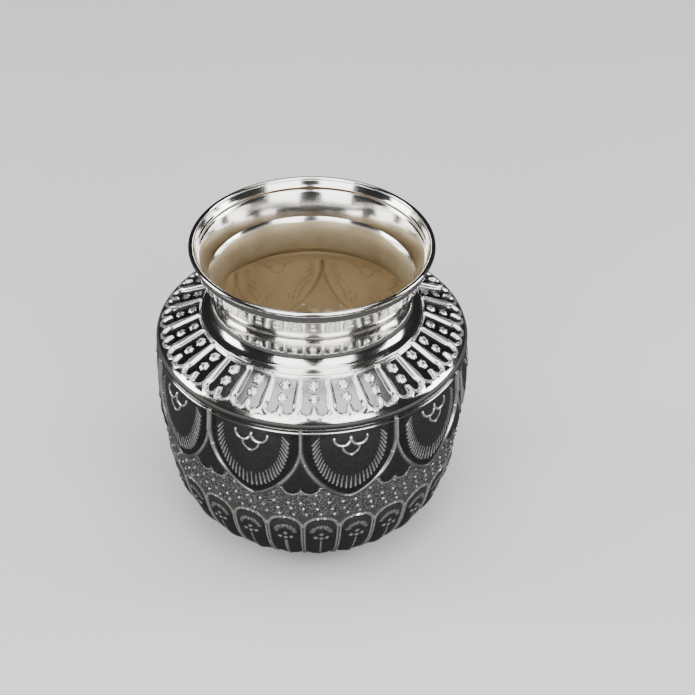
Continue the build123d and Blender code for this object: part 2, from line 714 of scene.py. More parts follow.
@dataclass
class GroundDots:
    """Rows of round dots raised from the matted ground."""

    rows: tuple[float, ...] = (33.4, 36.6, 39.6)
    count: int = 70
    half: float = 0.72
    height: float = 0.62
    error: float = 0.3  # largest error of a dot's place
    size_error: float = 0.12
    first: float = 1.2  # degrees, the first dot of the first row
    stagger: float = 1.0  # degrees from one row's first dot to the next row's
    seed: int = 11

    def onto(
        self, relief: Relief, angle: Array, y: Array, girth: float, room: Array | None = None
    ) -> Relief:
        """Raises the dots.

        Args:
            relief: the relief to raise them from.
            angle: degrees round the pot.
            y: depth below the seam.
            girth: radius of the pot there.
            room: where given, dots stand only where this is above 0.

        Returns:
            The same relief.
        """
        shape = np.zeros(len(y))
        pitch = 360.0 / self.count
        for row, depth in enumerate(self.rows):
            rng = np.random.default_rng(self.seed + row)
            dx = rng.uniform(-1.0, 1.0, self.count) * self.error
            dy = rng.uniform(-1.0, 1.0, self.count) * self.error
            size = 1.0 + rng.uniform(-1.0, 1.0, self.count) * self.size_error
            first = self.first + self.stagger * row
            unit = np.floor((angle - first) / pitch + 0.5)
            index = unit.astype(int) % self.count
            x = np.radians(angle - first - unit * pitch) * girth
            away = np.hypot(x - dx[index], y - depth - dy[index])
            shape = np.maximum(shape, bead(away, self.half * size[index]))
        if room is not None:
            shape = shape * (room > 0.0)
        relief.line(shape, self.height, 1.0)
        return relief


@dataclass
class MattedGround(Ornament):
    """The band of matted ground with its rows of dots."""

    top: float = 0.0  # place along the wall of the seam
    girth: float = 55.2
    depth: float = 0.55
    dots: GroundDots = field(default_factory=GroundDots)

    def at(self, angle: Array, along: Array, radius: Array, face: Side) -> Relief:
        """The relief of the band. See Ornament.at."""
        relief = super().at(angle, along, radius, face)
        relief.height -= self.depth
        relief.punched += 1.0
        MattingPunch().onto(relief, angle, self.top - along, self.girth, relief.punched)
        return self.dots.onto(relief, angle, self.top - along, self.girth)


@dataclass
class SmallPetals(Ornament):
    """The row of small upright petals round the foot, each with an arch of strokes and a flower."""

    repeat: Repeat = field(default_factory=lambda: Repeat(count=25, first=3.6, shift=0.25, seed=23))
    top: float = 0.0  # place along the wall of the seam
    full_radius: float = 54.6  # radius at which the sizes below are true
    apex: float = 41.5
    spring: float = 47.2  # depth at which the arch meets the sides
    half: float = 6.3
    reach: float = 7.0  # how far from its middle line a petal's own error moves it
    outline_half: float = 0.46
    outline_height: float = 0.7
    depth: float = 0.55
    strokes: int = 13
    arch_middle: float = 50.0
    arch_heads: Point = (4.05, 4.55)  # half-width and rise of the arch through the strokes' heads
    arch_tails: Point = (2.95, 3.25)
    flower: tuple[Point, ...] = ((0.0, 50.4), (2.15, 52.5), (0.0, 53.0))
    petal_half: float = 0.85  # half the width of each dot of the flower
    stem_top: Point = (54.2, 55.4)
    foot: float = 89.5  # where the petals end, near the base
    rest: float = 18.0  # radius of the flat face it stands on
    rings: tuple[float, ...] = (87.9, 90.4)

    def inset(self, x: Array, y: Array, narrow: Array) -> Array:
        """Distance inside the outline: an arch above, then sides that close near the foot.

        Args:
            x: distance from the petal's middle line.
            y: depth below the seam.
            narrow: how far the petal has narrowed with the pot, from 1 down to 0.

        Returns:
            The distance, below 0 outside the petal.
        """
        rise = self.spring - self.apex
        reach = np.hypot(x / self.half, np.minimum(y - self.spring, 0.0) / rise)
        arch = (1.0 - reach) * 0.5 * (self.half + rise)
        closing = ease(y, self.foot - 7.0, self.foot)
        sides = (self.half * (1.0 - 0.9 * closing**1.5) - x) * narrow
        return np.where(y > self.foot, -1.5, np.where(y < self.spring, arch, sides))

    def chase_strokes(self, relief: Relief, x: Array, y: Array) -> None:
        """Raises the arch of short strokes under the petal's own arch."""
        shape = np.zeros(len(x))
        for k in range((self.strokes + 1) // 2):
            turn = math.radians(82.0 * k / ((self.strokes - 1) / 2))
            head, tail = (
                (math.sin(turn) * wide, self.arch_middle - math.cos(turn) * rise)
                for wide, rise in (self.arch_heads, self.arch_tails)
            )
            shape = np.maximum(shape, drop(x, y, head, tail, 0.42, 0.25))
        relief.line(shape, 0.4, 0.75)

    def at(self, angle: Array, along: Array, radius: Array, face: Side) -> Relief:
        """The relief of the petals and what is in them. See Ornament.at."""
        relief = super().at(angle, along, radius, face)
        degrees, unit = self.repeat.local(angle)
        y = self.top - along
        narrow = np.minimum(radius / self.full_radius, 1.0)
        x = np.radians(degrees) * self.full_radius
        x = x + self.repeat.shift * self.repeat.errors(unit, 1) * bead(np.abs(x), self.reach)
        y = y + 0.25 * self.repeat.errors(unit, 2) * bead(np.abs(x), self.reach) * (y < 60.0)
        from_middle = np.abs(x)
        inset = self.inset(from_middle, y, narrow)

        # field, sunk all round and swelling in its middle
        within = ease(inset, 0.0, 0.7)
        below = ease(y, self.spring - 1.5, self.spring + 1.5)
        relief.height -= self.depth * (1.0 - within) * (1.0 - ease(y, self.foot - 1.0, self.foot + 0.5))
        relief.height -= 0.4 * within * (1.0 - ease(inset, 1.2, 2.2))
        relief.height += 0.3 * ease(inset, 1.6, 4.5) * (1.0 - ease(y, 60.0, 84.0))
        relief.oxide_and_painted_shade = np.maximum(relief.oxide_and_painted_shade, within * 0.9)
        relief.oxide_and_painted_shade = np.maximum(relief.oxide_and_painted_shade, 0.95 * below * (y < self.foot))
        relief.punched = np.maximum(relief.punched, (1.0 - within) * (1.0 - below))

        # strokes, and a flower of round dots on its stem
        self.chase_strokes(relief, from_middle, y)
        for cx, cy in self.flower:
            relief.line(bead(np.hypot(from_middle - cx, y - cy), self.petal_half), 0.55, 0.9)
        stem = bead(x * narrow, 0.42) * ease(y, *self.stem_top)
        relief.line(stem * (1.0 - ease(y, self.foot - 5.0, self.foot - 3.0)), 0.4, 0.7)

        # outline, the bead in each gap between two arches, and the two rings at the foot
        outline = bead(inset, self.outline_half * np.maximum(narrow, 0.6)) * (y < self.foot)
        relief.line(outline, self.outline_height, 1.0)
        between = math.pi / self.repeat.count * self.full_radius
        relief.line(bead(np.hypot(from_middle - between, (y - 46.4) * 0.7), 0.7), 0.3, 0.8)
        for ring in self.rings:
            relief.line(bead(y - ring, 0.7), 0.45, 0.8)
        relief.height *= ease(along, self.rest, self.rest + 5.0)
        return relief


@dataclass
class FlutedBand(Ornament):
    """The band of sunk panels on the shoulder, each with two punched bosses and two lobes below."""

    repeat: Repeat = field(default_factory=lambda: Repeat(count=27, first=1.0, shift=0.3, seed=41))
    joint: float = 0.0  # place along the wall of the joint with the neck
    head: float = 0.9  # where the panels begin, down from the joint
    depth: float = 0.7
    ridge: Point = (0.45, 1.1)  # half the width of a ridge at the panels' head and at their foot
    ridge_height: float = 0.3
    lobe: float = 2.65
    lobe_depth: float = 13.5
    cusp: float = 12.3  # where the two lobes of a panel part
    cusp_slope: float = 0.24
    rim_half: float = 0.65
    bosses: tuple[Point, ...] = ((4.2, 1.85), (9.3, 1.7))  # depth and half the width of each
    boss_height: float = 0.7
    crevice: float = 3.5  # how far up from the seam shade is painted on the metal

    def inset(self, x: Array, t: Array, half_pitch: Array, ridge: Array) -> Array:
        """Distance inside a panel, whose foot is two lobes with a cusp between them.

        Args:
            x: distance from the panel's middle line.
            t: depth below the joint.
            half_pitch: half the pitch of the panels there.
            ridge: half the width of a ridge there.

        Returns:
            The distance, below 0 outside the panel.
        """
        body = np.minimum(half_pitch - ridge - x, np.minimum(t - self.head, self.lobe_depth - t))
        lobes = self.lobe - np.hypot(x - self.lobe - 0.05, t - self.lobe_depth)
        cusp = 0.12 + np.maximum(t - self.cusp, 0.0) * self.cusp_slope
        return np.minimum(np.maximum(body, lobes), np.where(t > self.cusp, x - cusp, np.inf))

    def chase_bosses(self, relief: Relief, x: Array, t: Array, unit: Array) -> None:
        """Raises the punched bosses, each a six-lobed dot with a small pit."""
        for k, (depth, half) in enumerate(self.bosses):
            away = np.hypot(x, t - depth)
            turn = np.arctan2(t - depth, x)
            folds = np.cos(6.0 * turn + 2.0 * self.repeat.errors(unit, 3 + k))
            relief.line(bead(away, half * (1.0 + 0.1 * folds), 0.85), self.boss_height, 0.9)
            relief.height += 0.05 * folds * bead(away - 1.0, 0.8) - 0.12 * bead(away, 0.6)

    def at(self, angle: Array, along: Array, radius: Array, face: Side) -> Relief:
        """The relief of the panels. See Ornament.at."""
        relief = super().at(angle, along, radius, face)
        degrees, unit = self.repeat.local(angle)
        t = self.joint - along
        half_pitch = math.pi / self.repeat.count * radius
        x = np.radians(degrees) * radius
        x = x + self.repeat.shift * self.repeat.errors(unit, 1) * bead(np.abs(x), half_pitch)
        narrow, wide = self.ridge
        ridge = narrow + (wide - narrow) * ease(t, 1.0, self.lobe_depth)
        inset = self.inset(np.abs(x), t, half_pitch, ridge)

        # panels and the ridges between them
        sunk = ease(inset, -0.15, 0.75)
        below = 1.0 - ease(t, self.lobe_depth + 0.5, self.lobe_depth + 3.0)
        relief.height -= self.depth * sunk
        relief.height += 0.15 * (1.0 - sunk) * ease(t, self.head, 2.4) * below
        relief.oxide_and_painted_shade = np.maximum(relief.oxide_and_painted_shade, sunk * 0.85)
        relief.worn = np.maximum(relief.worn, (1.0 - sunk) * 0.9 * ease(t, 0.3, 1.2) * below)
        crest = bead(half_pitch - np.abs(x), ridge + 0.3)
        relief.height += self.ridge_height * crest * ease(t, self.head, 2.0) * (1.0 - ease(t, 12.5, 14.5))

        # the rim round the lobes, painted shade in the crevice over the seam, and the bosses
        relief.line(bead(inset + 0.5, self.rim_half) * ease(t, 12.0, 13.5), 0.22, 1.0)
        # painted shade: the crevice under the ring, just above the seam, is darkened
        painted_seam_shade = 0.95 * (1.0 - ease(along, self.crevice - 1.0, self.crevice))
        relief.oxide_and_painted_shade = np.maximum(relief.oxide_and_painted_shade, painted_seam_shade)
        self.chase_bosses(relief, x, t, unit)
        return relief


@dataclass
class MouthGroove(Ornament):
    """The neck's own marks: a chased double line in the flare, which is polished down to the crease."""

    groove: float = 115.2  # height of the double line
    polished_above: float = 104.2
    inner_drop: float = 0.35  # the inner face lies this far below the outline there
    heights: Array = field(default_factory=lambda: np.zeros(2))  # heights along the outline
    places: Array = field(default_factory=lambda: np.zeros(2))  # lengths along it at those heights

    def at(self, angle: Array, along: Array, radius: Array, face: Side) -> Relief:
        """The relief of the line. See Ornament.at."""
        relief = super().at(angle, along, radius, face)
        z = np.interp(along, self.places, self.heights) - self.inner_drop
        if face is Side.INSIDE:
            relief.height += 0.3 * bead(z - self.groove, 0.5) - 0.2 * bead(z - self.groove - 1.0, 0.45)
            wander = 0.5 * np.sin(np.radians(angle) * 5 + 1.0) + 0.3 * np.sin(np.radians(angle) * 11)
            relief.dull = 1.0 - ease(z, self.polished_above - 0.5, self.polished_above + 0.4 + wander)
        return relief


# ---- finishes ------------------------------------------------------------------------------------


class Nodes:
    """Short ways to make shader nodes in one tree."""

    def __init__(self, tree: bpy.types.NodeTree) -> None:
        """Keeps the tree."""
        self.tree = tree

    def add(self, kind: str, **values: object) -> bpy.types.Node:
        """Adds a node.

        Args:
            kind: its type, such as ShaderNodeMath.
            values: its properties by name.

        Returns:
            The node.
        """
        node = self.tree.nodes.new(kind)
        for name, value in values.items():
            setattr(node, name, value)
        return node

    def feed(self, node: bpy.types.Node, **inputs: object) -> bpy.types.Node:
        """Sets or links inputs, named with _ for a space.

        Args:
            node: the node.
            inputs: a socket to link, or a value to set, for each.

        Returns:
            The node.
        """
        for name, value in inputs.items():
            key = int(name[1:]) if name[1:].isdigit() else name.replace("_", " ")
            if isinstance(value, bpy.types.NodeSocket):
                self.tree.links.new(value, node.inputs[key])
            else:
                node.inputs[key].default_value = value
        return node

    def math(
        self, operation: str, a: object, b: object = 0.0, clamp: bool = False
    ) -> bpy.types.NodeSocket:
        """A sum, product or other operation on two numbers, as a socket."""
        node = self.add("ShaderNodeMath", operation=operation, use_clamp=clamp)
        return self.feed(node, i0=a, i1=b).outputs[0]

    def ramp(
        self, value: object, low: float, high: float, to_low: float = 0.0, to_high: float = 1.0
    ) -> bpy.types.NodeSocket:
        """A smooth ramp of a number from one range to another, as a socket."""
        node = self.add("ShaderNodeMapRange", interpolation_type="SMOOTHSTEP")
        self.feed(node, Value=value, From_Min=low, From_Max=high, To_Min=to_low, To_Max=to_high)
        return node.outputs["Result"]

    def toward(self, number: object, target: float, amount: object) -> bpy.types.NodeSocket:
        """A number moved towards a target by an amount from 0 to 1, as a socket."""
        keep = self.math("MULTIPLY", number, self.math("SUBTRACT", 1.0, amount))
        return self.math("ADD", keep, self.math("MULTIPLY", amount, target))

    def mix(self, amount: object, a: object, b: object) -> bpy.types.NodeSocket:
        """A mix of two colours, as a socket."""
        node = self.add("ShaderNodeMix", data_type="RGBA")
        for socket, value in ((node.inputs[0], amount), (node.inputs[6], a), (node.inputs[7], b)):
            if isinstance(value, bpy.types.NodeSocket):
                self.tree.links.new(value, socket)
            else:
                socket.default_value = value
        return node.outputs[2]

    def noise(
        self, vector: object, scale: float, detail: float = 3.0, roughness: float = 0.55
    ) -> bpy.types.NodeSocket:
        """Noise on a vector, in waves to the metre, as a socket."""
        node = self.add("ShaderNodeTexNoise")
        self.feed(node, Vector=vector, Scale=scale, Detail=detail, Roughness=roughness)
        return node.outputs["Fac"]


def new_group(
    name: str, inputs: dict[str, str], outputs: dict[str, str]
) -> tuple[bpy.types.NodeTree, Nodes]:
    """Starts a shader node group.

    Args:
        name: its name.
        inputs: socket type of each input.
        outputs: socket type of each output.

    Returns:
        The group and its node maker.
    """
    group = bpy.data.node_groups.new(name, "ShaderNodeTree")
    for direction, sockets in (("INPUT", inputs), ("OUTPUT", outputs)):
        for socket, kind in sockets.items():
            group.interface.new_socket(name=socket, in_out=direction, socket_type=kind)
    return group, Nodes(group)


class SharedEffects:
    """The effects that more than one finish uses, each a node group built once."""

    FLOAT = "NodeSocketFloat"
    VECTOR = "NodeSocketVector"

    def __init__(self) -> None:
        """Builds the groups."""
        self.wipe_marks = self.build_wipe_marks()
        self.tarnish = self.build_tarnish()
        self.punch_marks = self.build_punch_marks()

    def build_wipe_marks(self) -> bpy.types.NodeTree:
        """Fine scratches of the polishing cloth: long thin streaks round the pot, and a few strays.

        Returns:
            A group with a height and a roughness mask.
        """
        group, n = new_group(
            "wipe_marks",
            {"Vector": self.VECTOR, "Density": self.FLOAT},
            {"Height": self.FLOAT, "Mask": self.FLOAT},
        )
        given, out = n.add("NodeGroupInput"), n.add("NodeGroupOutput")
        round_pot = ((60.0, 60.0, 2600.0), (0.0, 0.0, 0.0))
        stray = ((1500.0, 90.0, 500.0), (0.5, 0.2, 0.7))
        streaks = []
        for scale, turn in (round_pot, stray):
            mapping = n.add("ShaderNodeMapping")
            n.feed(mapping, Vector=given.outputs["Vector"], Rotation=turn, Scale=scale)
            streaks.append(n.noise(mapping.outputs[0], 1.0, 2.0))
        both = n.math("ADD", streaks[0], n.math("MULTIPLY", streaks[1], 0.6))
        fine = n.math("MULTIPLY", both, given.outputs["Density"])
        n.feed(out, Height=fine, Mask=n.ramp(both, 0.75, 1.15))
        return group

    def build_tarnish(self) -> bpy.types.NodeTree:
        """Thin tarnish in clouds, which warms and dulls the silver.

        Returns:
            A group with a mask.
        """
        group, n = new_group(
            "tarnish_clouds",
            {"Vector": self.VECTOR, "Amount": self.FLOAT},
            {"Mask": self.FLOAT},
        )
        given, out = n.add("NodeGroupInput"), n.add("NodeGroupOutput")
        large = n.noise(given.outputs["Vector"], 45.0, 5.0, 0.6)
        small = n.noise(given.outputs["Vector"], 420.0, 3.0, 0.6)
        clouds = n.math("ADD", n.math("MULTIPLY", large, 0.7), n.math("MULTIPLY", small, 0.3))
        n.feed(out, Mask=n.math("MULTIPLY", n.ramp(clouds, 0.38, 0.66), given.outputs["Amount"]))
        return group

    def build_punch_marks(self) -> bpy.types.NodeTree:
        """The small round dents of a matting punch, set close together.

        Returns:
            A group with a height and a mask of the dents' floors.
        """
        group, n = new_group(
            "punch_marks",
            {"Vector": self.VECTOR, "Size": self.FLOAT},
            {"Height": self.FLOAT, "Mask": self.FLOAT},
        )
        given, out = n.add("NodeGroupInput"), n.add("NodeGroupOutput")
        scale = n.math("DIVIDE", 1.0, given.outputs["Size"])
        cells = n.add("ShaderNodeTexVoronoi")
        n.feed(cells, Vector=given.outputs["Vector"], Scale=scale, Randomness=0.85)
        dent = n.ramp(cells.outputs["Distance"], 0.15, 0.5)
        grain = n.noise(given.outputs["Vector"], 3800.0, 2.0)
        height = n.math("ADD", dent, n.math("MULTIPLY", grain, 0.35))
        n.feed(out, Height=height, Mask=n.math("SUBTRACT", 1.0, dent))
        return group


def paint(colour: Colour, tint: Colour = (1.0, 1.0, 1.0)) -> tuple[float, float, float, float]:
    """A colour times a tint, as a colour socket takes it."""
    return (*(c * t for c, t in zip(colour, tint)), 1.0)


@dataclass(frozen=True)
class SilverFinish:
    """One finish of the silver, which reads the tones that chasing left on a piece.

    The first colours are of bare metal, of metal on worn raised edges, of dark metal in the hollows,
    which is oxide and in a few places painted shade, of matted ground, and of the dull inside, and each
    of these has its roughness. The tints and shades are what the colours are multiplied by where a mask
    is full.
    """

    name: str
    bare: Colour = (0.90, 0.89, 0.87)
    worn: Colour = (0.93, 0.92, 0.90)
    dark: Colour = (0.035, 0.035, 0.037)
    matted: Colour = (0.19, 0.187, 0.18)
    inside: Colour = (0.80, 0.66, 0.43)
    tarnish_tint: Colour = (0.78, 0.70, 0.56)
    dent_shade: Colour = (0.4, 0.4, 0.4)
    stain_tint: Colour = (0.74, 0.7, 0.62)
    inside_lines: Colour = (0.36, 0.27, 0.15)  # dirt along the raised work seen from inside
    inside_hollows: Colour = (0.78, 0.66, 0.45)
    bare_rough: float = 0.09
    worn_rough: float = 0.24
    dark_rough: float = 0.34
    matted_rough: float = 0.36
    inside_rough: float = 0.36
    satin: float = 0.12  # how far the worn and matted metal scatters light like a dull surface
    stain: float = 0.1  # the same, for darkened metal
    inside_satin: float = 0.45  # the same, for the dull inside
    tarnish: float = 0.25
    marks: float = 0.5
    dent: float = 0.00052  # metres from one punch mark to the next

    def build(self, effects: SharedEffects) -> bpy.types.Material:
        """Makes the material.

        Args:
            effects: the shared node groups.

        Returns:
            The material.
        """
        material = bpy.data.materials.new(self.name)
        material.use_nodes = True
        n = Nodes(material.node_tree)
        shader = material.node_tree.nodes["Principled BSDF"]
        here = n.add("ShaderNodeTexCoord").outputs["Object"]
        tone = {}
        for name in Relief.TONES:
            tone[name] = n.add("ShaderNodeAttribute", attribute_name=name).outputs["Fac"]
        wipe, cloud, punch = (
            n.feed(n.add("ShaderNodeGroup", node_tree=group), Vector=here, **{socket: value})
            for group, socket, value in (
                (effects.wipe_marks, "Density", 1.0),
                (effects.tarnish, "Amount", self.tarnish),
                (effects.punch_marks, "Size", self.dent),
            )
        )
        speckle = n.noise(here, 900.0, 4.0, 0.65)

        # colour: bare, then matted, then darkened, then worn bright
        oxide_and_painted_shade = n.math("MULTIPLY", tone["oxide_and_painted_shade"], n.ramp(speckle, 0.2, 0.75, 1.0, 0.94))
        worn = n.math("MULTIPLY", tone["worn"], n.ramp(speckle, 0.25, 0.6, 0.7, 1.0))
        color = n.mix(cloud.outputs["Mask"], paint(self.bare), paint(self.bare, self.tarnish_tint))
        ground = n.mix(punch.outputs["Mask"], paint(self.matted), paint(self.matted, self.dent_shade))
        color = n.mix(tone["punched"], color, ground)
        color = n.mix(oxide_and_painted_shade, color, paint(self.dark))
        color = n.mix(worn, color, paint(self.worn))

        # roughness, and how much of a metal it is
        rough = n.math("ADD", self.bare_rough, n.math("MULTIPLY", wipe.outputs["Mask"], 0.05))
        rough = n.math("ADD", rough, n.math("MULTIPLY", cloud.outputs["Mask"], 0.2))
        metal = 1.0
        for amount, roughness, satin in (
            (oxide_and_painted_shade, self.dark_rough, self.stain),
            (tone["punched"], self.matted_rough, self.satin),
            (worn, self.worn_rough, self.satin),
        ):
            rough = n.toward(rough, roughness, amount)
            metal = n.math("SUBTRACT", metal, n.math("MULTIPLY", amount, satin), clamp=True)

        # the dull inside, stained, with dirt along the lines of the work
        stain = n.ramp(n.noise(here, 60.0, 5.0, 0.6), 0.3, 0.75)
        inner = n.mix(stain, paint(self.inside), paint(self.inside, self.stain_tint))
        inner = n.mix(n.math("MULTIPLY", tone["worn"], 0.55), inner, paint(self.inside_lines))
        inner = n.mix(n.math("MULTIPLY", tone["oxide_and_painted_shade"], 0.3), inner, paint(self.inside_hollows))
        color = n.mix(tone["dull"], color, inner)
        rough = n.toward(rough, self.inside_rough, tone["dull"])
        satin = n.math("MULTIPLY", tone["dull"], self.inside_satin)
        metal = n.math("SUBTRACT", metal, satin, clamp=True)
        n.feed(shader, Base_Color=color, Roughness=rough, Metallic=metal)

        marks = n.add("ShaderNodeBump")
        n.feed(marks, Height=wipe.outputs["Height"], Strength=self.marks * 0.12, Distance=0.00003)
        dents = n.add("ShaderNodeBump")
        depth = n.math("MULTIPLY", punch.outputs["Height"], tone["punched"])
        n.feed(dents, Height=depth, Strength=0.9, Distance=0.00022, Normal=marks.outputs[0])
        n.feed(shader, Normal=dents.outputs[0])
        return material


# ---- the pot's own pieces ------------------------------------------------------------------------


@dataclass
class Pot:
    """Sizes that the pieces share. They are the ones in the CAD model."""

    height: float = 120.0
    lip_radius: float = 44.0
    sheet: float = 1.0
    seam_radius: float = 56.0
    seam_height: float = 78.3
    seam_lap: float = 3.2
    joint_radius: float = 39.8
    joint_height: float = 91.0
    joint_slope: float = 24.0
    joint_lap: float = 2.4
    skirt: float = 1.4
    lip_wire: float = 0.9

    @property
    def lip_center(self) -> Point:
        """Middle of the lip wire's section."""
        return self.lip_radius - self.lip_wire, self.height - self.lip_wire

    def on_slope(self, along: float, inward: float) -> Point:
        """A place near the neck joint: along the slope, down and out, and in from its surface."""
        a = math.radians(self.joint_slope)
        return (
            self.joint_radius + along * math.cos(a) - inward * math.sin(a),
            self.joint_height - along * math.sin(a) - inward * math.cos(a),
        )


def dress(piece: bpy.types.Object, material: bpy.types.Material, slot: str, *nodes: str) -> None:
    """Gives a finished piece its finish and its body, and hides the CAD nodes it stands for.

    Args:
        piece: the piece.
        material: its finish.
        slot: not used.
        nodes: the CAD nodes it replaces.
    """
    piece.data.materials.clear()
    piece.data.materials.append(material)
    piece.data.shade_smooth()
    piece.data.set_sharp_from_angle(angle=math.radians(SHARP_EDGE))
    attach(piece, "root")
    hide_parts(*nodes)
    triangles = sum(len(p.vertices) - 2 for p in piece.data.polygons)
    log.info("%s: %d triangles, stands for %s", piece.name, triangles, ", ".join(nodes))


@dataclass
class Bowl:
    """The raised body, in four rings of one sheet: large petals, matted ground, small petals."""

    pot: Pot
    base_radius: float = 18.0
    foot_curve: float = 35.0
    foot_turn: float = 74.8
    petal_middle: float = 14.0  # depth below the seam at which the petals' two rings meet
    ground_top: float = 32.1
    ground_foot: float = 40.5
    bend: float = 38.0  # length from the axis within which the wall is out of sight

    def outline(self) -> Outline:
        """The outer line, from the middle of the base to the seam."""
        pot = self.pot
        line = Outline((0.0, 0.0), 0.0).line(self.base_radius).turn_by(self.foot_curve, self.foot_turn)
        line.arc_to((pot.seam_radius, pot.seam_height - pot.seam_lap))
        return line.line_to((pot.seam_radius, pot.seam_height))

    def build(self, chased: bpy.types.Material, matted: bpy.types.Material) -> list[bpy.types.Object]:
        """Makes and dresses the four rings.

        Args:
            chased: finish of the petals.
            matted: finish of the matted ground.

        Returns:
            The pieces.
        """
        line = self.outline()
        top = float(line.arrays()[2][-1])
        middle = top - self.petal_middle
        high, low = top - self.ground_top, top - self.ground_foot
        rest = self.base_radius
        foot_outer = spaced((0.0, rest, 2.0), (rest, self.bend, 0.8), (self.bend, low, 0.45))
        foot_inner = spaced((0.0, rest, 3.0), (rest, low, 1.4))

        made = []
        for name, outer, inner, cuts, ornament, finish in (
            ("bowl_petal_tips", spaced((high, middle, 0.3)), spaced((high, middle, 0.7)), (53, 23, 7),
             LargePetals(top=top), chased),
            ("bowl_petal_tops", spaced((middle, top, 0.3)), spaced((middle, top, 0.7)), (53, 23, 7),
             LargePetals(top=top), chased),
            ("bowl_matted_ground", spaced((low, high, 0.22)), spaced((low, high, 0.8)), (60, 24, 7),
             MattedGround(top=top), matted),
            ("bowl_small_petals", foot_outer, foot_inner, (50, 12, 5),
             SmallPetals(top=top), chased),
        ):
            faces = Section.cut(line, outer), Section.cut(line, inner, self.pot.sheet)
            piece = Wall(name, *faces, *cuts, closed_foot=outer[0] == 0.0).build()
            chase(piece, ornament)
            dress(piece, finish, "oxidised_silver", "bowl")
            made.append(piece)
        return made


@dataclass
class Shoulder:
    """The dome with its fluted band, the smooth ring, and the lap that stands in the bowl."""

    pot: Pot
    dome_radius: float = 54.8
    dome_height: float = 84.2
    ring_curve: float = 3.6
    undercut: float = 2.5
    undercut_turn: float = 50.0
    ring_end: float = 8.0  # length along the outline at which the ring ends
    inside_share: float = 0.6  # how much of the relief shows inside
    inner_start: float = 2.4  # the same, at which the inner face leaves the lap

    def outline(self) -> Outline:
        """The outer line, from the seam up to the joint with the neck."""
        pot = self.pot
        joint = pot.on_slope(pot.joint_lap, 0.0)
        chord = math.degrees(math.atan2(joint[1] - self.dome_height, self.dome_radius - joint[0]))
        dome_slope = 2.0 * chord - pot.joint_slope
        slope, turn = math.radians(dome_slope), math.radians(self.undercut_turn)
        ring_r = self.dome_radius + self.ring_curve * (1.0 - math.sin(slope))
        ring_z = self.dome_height - self.ring_curve * math.cos(slope)
        low = (ring_r - self.undercut * (1.0 - math.cos(turn)), ring_z - self.undercut * math.sin(turn))
        line = Outline((pot.seam_radius, pot.seam_height), 90.0).line_to((pot.seam_radius, low[1]))
        line.line_to(low)
        line.headings[-1] = math.pi / 2 - turn
        line.turn_by(self.undercut, self.undercut_turn).turn_by(self.ring_curve, 90.0 - dome_slope)
        return line.arc_to(joint).line(pot.joint_lap)

    def build(self, finish: bpy.types.Material) -> bpy.types.Object:
        """Makes and dresses the shoulder.

        Args:
            finish: its finish.

        Returns:
            The piece.
        """
        pot = self.pot
        line = self.outline()
        top = float(line.arrays()[2][-1])
        end = self.ring_end
        outer = Section.cut(line, spaced((0.0, end, 0.45), (end, top, 0.4)))
        inner = Section.cut(line, spaced((self.inner_start, end, 0.6), (end, top, 0.9)), pot.sheet)
        for face, inward, high in ((outer, pot.sheet, 0.0), (inner, 2.0 * pot.sheet, pot.sheet)):
            radius = pot.seam_radius - inward
            lap = [(radius, pot.seam_height - pot.seam_lap), (radius, pot.seam_height + high)]
            face.points = np.concatenate([lap, face.points])
            face.normals = np.concatenate([[(1.0, 0.0), (1.0, 0.0)], face.normals])
            face.along = np.concatenate([[-4.0, -0.5], face.along])
        piece = Wall("shoulder_shell", outer, inner, 54, 24, 4).build()
        chase(piece, FlutedBand(joint=top, hammer=0.03, seed=5), self.inside_share)
        dress(piece, finish, "chased_silver", "shoulder")
        return piece


@dataclass
class Neck:
    """Skirt, waist, collar and flared mouth, and the edge that runs on under the shoulder."""

    pot: Pot
    skirt_curve: float = 5.4
    collar: Point = (38.2, 105.8)
    outer_lean: float = 30.0  # degrees out from upright, where the flare leaves the collar
    inner_lean: float = 14.0  # the same on the inside, where the metal is drawn out evenly
    rim: Point = (42.4, 115.2)
    into_lip: float = 0.55  # the sheet ends this far short of the middle of the lip wire
    rows: float = 0.35  # spacing of the points up the wall

    def outline(self, side: Side) -> Outline:
        """The outer line, from the joint with the shoulder up to the lip wire.

        Args:
            side: which face the line is for, because the two flare differently.

        Returns:
            The line.
        """
        pot = self.pot
        line = Outline((pot.joint_radius, pot.joint_height), 180.0 - pot.joint_slope).line(pot.skirt)
        line.turn_by(self.skirt_curve, -(90.0 - pot.joint_slope)).arc_to(self.collar)
        if side is Side.INSIDE:
            line.headings[-1] = math.radians(90.0 - self.inner_lean)
            return line.arc_to(pot.lip_center)
        line.headings[-1] = math.radians(90.0 - self.outer_lean)
        return line.arc_to(self.rim).line_to(pot.lip_center)

    def build(self, finish: bpy.types.Material) -> bpy.types.Object:
        """Makes and dresses the neck.

        Args:
            finish: its finish.

        Returns:
            The piece.
        """
        pot = self.pot
        line, inside = self.outline(Side.OUTSIDE), self.outline(Side.INSIDE)
        points, _, along = inside.arrays()
        ends = float(line.arrays()[2][-1]) - self.into_lip, float(along[-1]) - self.into_lip
        outer = Section.cut(line, spaced((0.0, ends[0], self.rows)))
        inner = Section.cut(inside, spaced((0.9, ends[1], self.rows)), pot.sheet)
        a = math.radians(pot.joint_slope)
        down = (-math.sin(a), -math.cos(a))
        for face, depth in ((outer, pot.sheet), (inner, 2.0 * pot.sheet)):
            back = 0.0 if face is outer else -0.5
            under = [pot.on_slope(pot.joint_lap, depth), pot.on_slope(back, depth)]
            face.points = np.concatenate([under, face.points])
            face.normals = np.concatenate([[down, down], face.normals])
            face.along = np.concatenate([[-3.0, -1.0], face.along])
        piece = Wall("neck_and_mouth", outer, inner, 48, 5, 5).build()
        chase(piece, MouthGroove(hammer=0.03, seed=9, heights=points[:, 1], places=along))
        dress(piece, finish, "polished_silver", "neck")
        return piece


